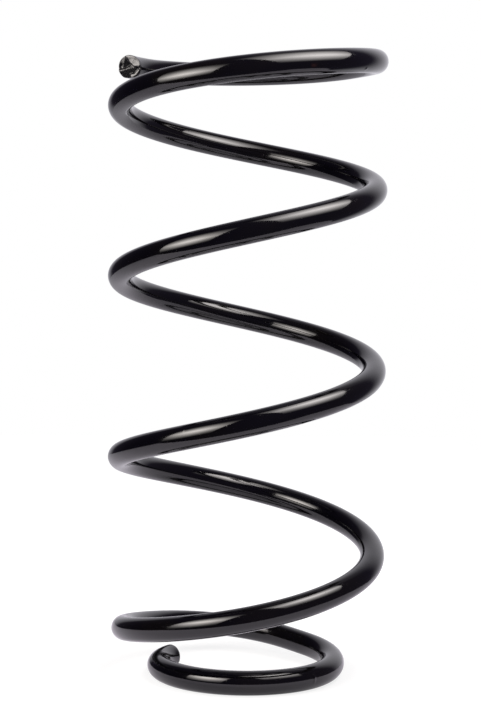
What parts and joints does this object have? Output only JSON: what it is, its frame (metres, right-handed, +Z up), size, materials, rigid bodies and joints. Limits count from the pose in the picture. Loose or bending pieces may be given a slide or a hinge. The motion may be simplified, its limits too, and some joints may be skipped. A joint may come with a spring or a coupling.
{
  "type": "suspension coil spring",
  "caption": "Helical suspension spring of round bar with open working coils, a small closed lower end coil, a closed upper end coil and sheared bar ends, in gloss black.",
  "frame": {"origin": "on the coil axis, in the plane that the flat lower end coil stands on", "axes": "+Z up the coil axis, from the small lower end coil to the upper end coil; +X to the right and -Y towards the viewer in the front view"},
  "size_m": [0.14, 0.1399, 0.3171],
  "materials": {
    "black_coating": "smooth high-gloss black coating over wound spring steel, thin and uneven on the sheared bar ends"
  },
  "bodies": {
    "root": {"coil_spring": "black_coating"}
  },
  "joints": []
}
